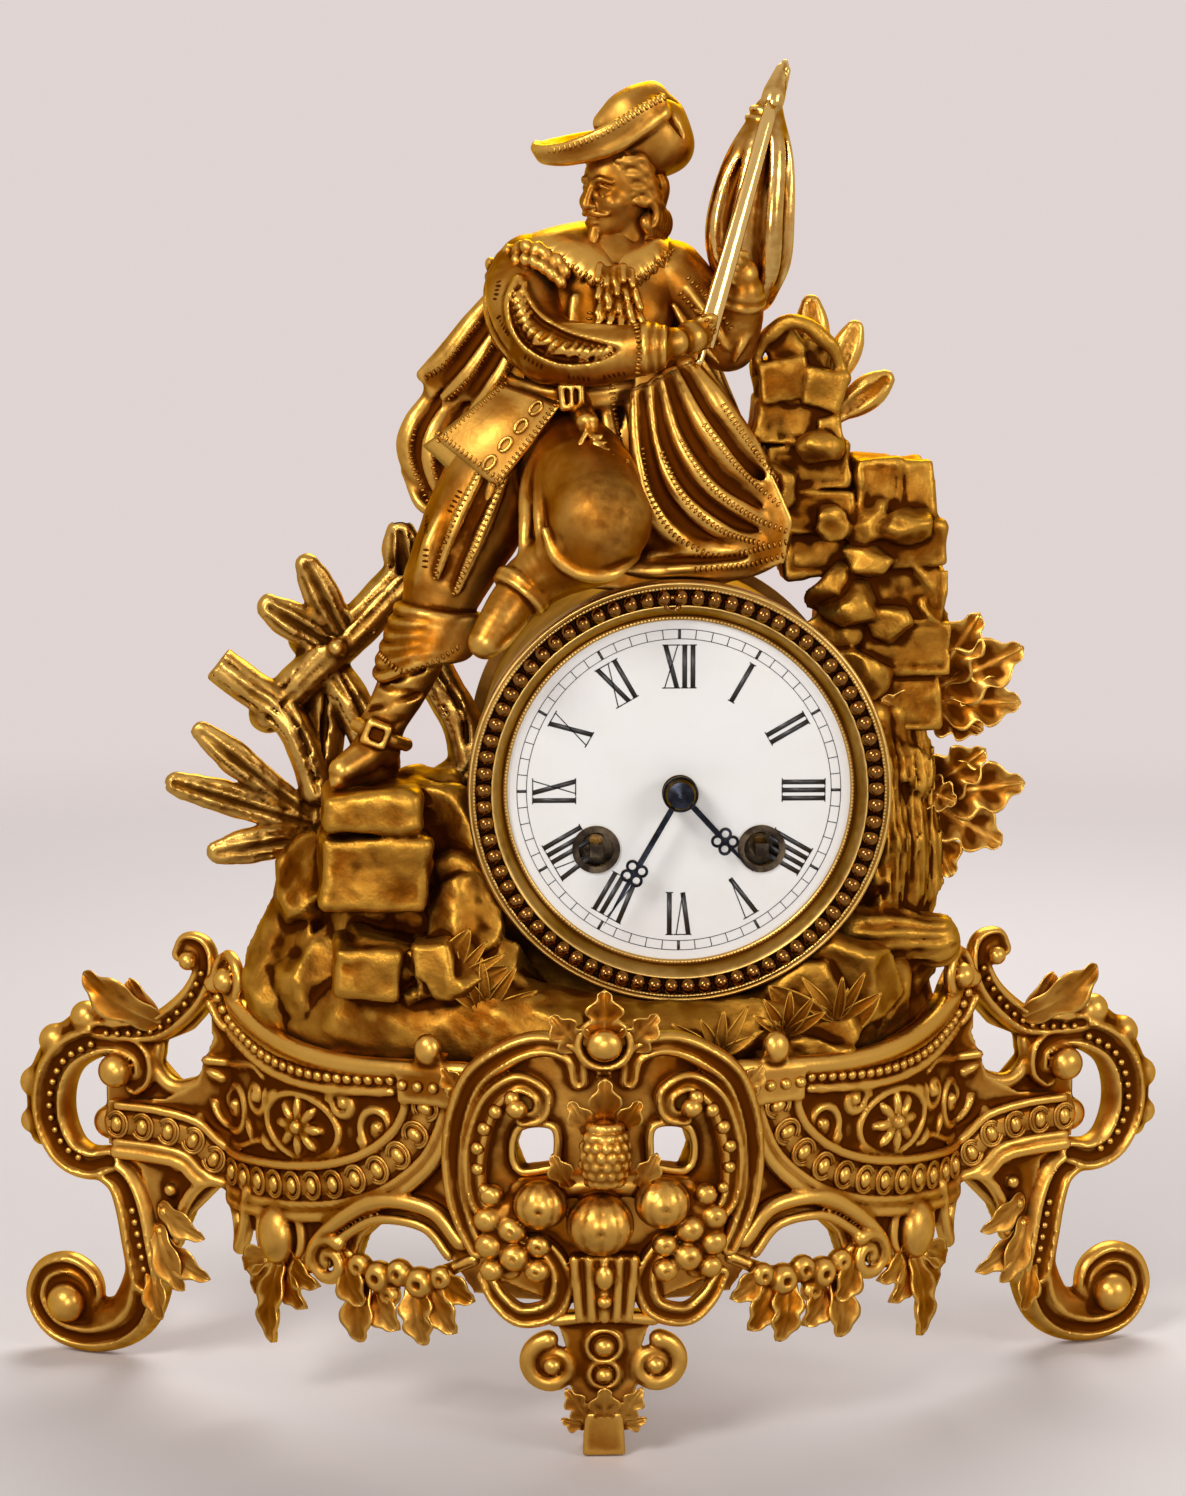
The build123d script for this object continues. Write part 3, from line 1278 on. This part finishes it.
with BuildPart() as left_wing:
    with BuildSketch() as wing_face:
        add(curved(stem_outline))
        with Locations(foot_volute):
            Circle(foot_volute_radius)
        add(curved(scroll_outer))
        add(curved(scroll_inner), mode=Mode.SUBTRACT)
        with Locations(scroll_eye):
            Circle(scroll_eye_radius)
        add(curved(crest_outline))
    add(bowed(wing_face.sketch, wing_proud, wing_depth))
    add(base_shell.part, mode=Mode.SUBTRACT)
finish(left_wing, "left_wing")

with BuildPart() as right_wing:
    mirror(left_wing.part, about=Plane.YZ)
finish(right_wing, "right_wing")

with BuildPart() as left_garland:
    with BuildSketch() as garland_face:
        for base, tip, width in garland_leaves:
            add(leaf(base, tip, width))
        for start, end in zip(garland_cord, garland_cord[1:]):
            Polygon(*bar_points(start, end, garland_cord_width), align=None)
    add(bowed(garland_face.sketch, garland_proud, garland_depth))
    add(base_shell.part, mode=Mode.SUBTRACT)
    add(centre_cartouche.part, mode=Mode.SUBTRACT)
with BuildPart() as base_garlands:
    add(left_garland.part)
    mirror(left_garland.part, about=Plane.YZ)
finish(base_garlands, "base_garlands")

# Rockwork: a hollow casting that cradles the drum, with a pillar for the standing foot

with BuildPart() as rock_mound:
    boulder(mound_foot, deck_top, mound_top, deck_top + mound_rise)
    boulder(pillar_foot, deck_top, pillar_top, deck_top + pillar_rise)
    boulder(column_foot, deck_top, column_top, deck_top + column_rise)
    limb(log_line)
    boulder(cavity_foot, deck_top, cavity_top, deck_top + cavity_rise, Mode.SUBTRACT)
    for x, y in bolt_places:
        with Locations((x, y, deck_top)):
            Cylinder(bolt_boss_radius, bolt_rise, align=(Align.CENTER, Align.CENTER, Align.MIN))
            Cylinder(bolt_radius, bolt_rise, align=(Align.CENTER, Align.CENTER, Align.MIN), mode=Mode.SUBTRACT)
    add(clock_room.part, mode=Mode.SUBTRACT)
    add(base_shell.part, mode=Mode.SUBTRACT)
    with Locations((dial_x, slot_front - bob_room, deck_top)):
        Box(2 * bob_half, plan_radius, dial_z - drum_radius - deck_top + bob_room,
            align=(Align.CENTER, Align.MIN, Align.MIN), mode=Mode.SUBTRACT)
finish(rock_mound, "rock_mound")

with BuildPart() as base_bolts:
    for x, y in bolt_places:
        with Locations((x, y, deck_top - deck_thickness)):
            Cylinder(bolt_radius, deck_thickness + bolt_rise, align=(Align.CENTER, Align.CENTER, Align.MIN))
        with BuildSketch(Plane.XY.offset(deck_top - deck_thickness - bolt_nut_height)) as nut:
            with Locations((x, y)):
                RegularPolygon(bolt_nut_radius, 6)
        extrude(nut.sketch, amount=bolt_nut_height)
finish(base_bolts, "base_bolts")

with BuildPart() as ruined_wall:
    for x, z, width, height in bricks:
        with Locations((x, (wall_front + wall_back) / 2, z)):
            Box(width, wall_back - wall_front, height)
    add(clock_room.part, mode=Mode.SUBTRACT)
    add(rock_mound.part, mode=Mode.SUBTRACT)
finish(ruined_wall, "ruined_wall")

with BuildPart() as oak_spray:
    foliage(oak_leaves, oak_stems, oak_front, leaf_depth)
    add(rock_mound.part, mode=Mode.SUBTRACT)
    add(ruined_wall.part, mode=Mode.SUBTRACT)

with BuildPart() as crown_spray:
    foliage(crown_leaves, crown_stems, crown_front, leaf_depth)
    add(ruined_wall.part, mode=Mode.SUBTRACT)

with BuildPart() as wall_foliage:
    add(oak_spray.part)
    add(crown_spray.part)
finish(wall_foliage, "wall_foliage")

with BuildPart() as log_fence:
    for rail in fence_rails:
        limb(rail)
    foliage(fence_leaves, [], fence_leaf_front, leaf_depth)
    add(rock_mound.part, mode=Mode.SUBTRACT)
    add(clock_room.part, mode=Mode.SUBTRACT)
finish(log_fence, "log_fence")

# Figure of a standard bearer, cast in pieces that are pinned together

seat = (dial_x, 0, seat_z)


def seated(x, z):
    """A point of the figure's elevation, from the top of the drum."""
    return (dial_x + x, seat_z + z)


with BuildPart() as figure_trunk:
    sections = []
    for x, y, z, half_width, half_depth in trunk_sections:
        with BuildSketch(Plane(origin=(dial_x + x, y, seat_z + z))) as section:
            Ellipse(half_width, half_depth)
        sections.append(section.sketch)
    loft(sections)
    add(clock_room.part, mode=Mode.SUBTRACT)
finish(figure_trunk, "figure_trunk")

with BuildPart() as figure_head:
    limb(neck_line, seat)
    for middle, radius, half_height in (skull, hair):
        egg((dial_x + middle[0], middle[1], seat_z + middle[2]), radius, half_height)
    limb(beard_line, seat)
    add(figure_trunk.part, mode=Mode.SUBTRACT)
finish(figure_head, "figure_head")

with BuildPart() as figure_hat:
    brim_middle = (dial_x + hat_centre[0], hat_centre[1], seat_z + hat_centre[2])
    with Locations(Location(brim_middle, (hat_tilt[0], hat_tilt[1], 0))):
        Cylinder(hat_brim, hat_brim_depth)
    egg((dial_x + hat_crown[0][0], hat_crown[0][1], seat_z + hat_crown[0][2]), hat_crown[1], hat_crown[2])
    add(figure_head.part, mode=Mode.SUBTRACT)
finish(figure_hat, "figure_hat")

with BuildPart() as flag_staff:
    limb(staff_line, seat)
    limb(spear_line, seat)
finish(flag_staff, "flag_staff")

with BuildPart() as near_arm_piece:
    limb(near_arm, seat)
    add(figure_trunk.part, mode=Mode.SUBTRACT)
    add(flag_staff.part, mode=Mode.SUBTRACT)

with BuildPart() as far_arm_piece:
    limb(far_arm, seat)
    add(figure_trunk.part, mode=Mode.SUBTRACT)
    add(flag_staff.part, mode=Mode.SUBTRACT)

with BuildPart() as figure_arms:
    add(near_arm_piece.part)
    add(far_arm_piece.part)
finish(figure_arms, "figure_arms")

with BuildPart() as bent_leg_piece:
    limb(bent_leg, seat)
    add(figure_trunk.part, mode=Mode.SUBTRACT)
    add(clock_room.part, mode=Mode.SUBTRACT)

with BuildPart() as standing_leg_piece:
    limb(standing_leg, seat)
    add(figure_trunk.part, mode=Mode.SUBTRACT)
    add(bent_leg_piece.part, mode=Mode.SUBTRACT)
    add(rock_mound.part, mode=Mode.SUBTRACT)
    add(log_fence.part, mode=Mode.SUBTRACT)

with BuildPart() as figure_legs:
    add(bent_leg_piece.part)
    add(standing_leg_piece.part)
finish(figure_legs, "figure_legs")

with BuildPart() as figure_cape:
    for outline, layer in ((cape_left, cape_left_layer), (cape_back, cape_back_layer),
                           (cape_right, cape_right_layer)):
        with BuildSketch(Plane.XZ.offset(-layer[1])) as sheet:
            Polygon(*[seated(x, z) for x, z in outline], align=None)
        extrude(sheet.sketch, amount=layer[1] - layer[0])
    for neighbour in (clock_room, figure_trunk, figure_head, near_arm_piece, far_arm_piece, bent_leg_piece,
                      standing_leg_piece, flag_staff, ruined_wall, crown_spray):
        add(neighbour.part, mode=Mode.SUBTRACT)
finish(figure_cape, "figure_cape")

with BuildPart() as furled_flag:
    limb(flag_line, seat)
    for neighbour in (flag_staff, figure_cape, figure_trunk, near_arm_piece, far_arm_piece, figure_head,
                      figure_hat, ruined_wall, crown_spray):
        add(neighbour.part, mode=Mode.SUBTRACT)
finish(furled_flag, "furled_flag")
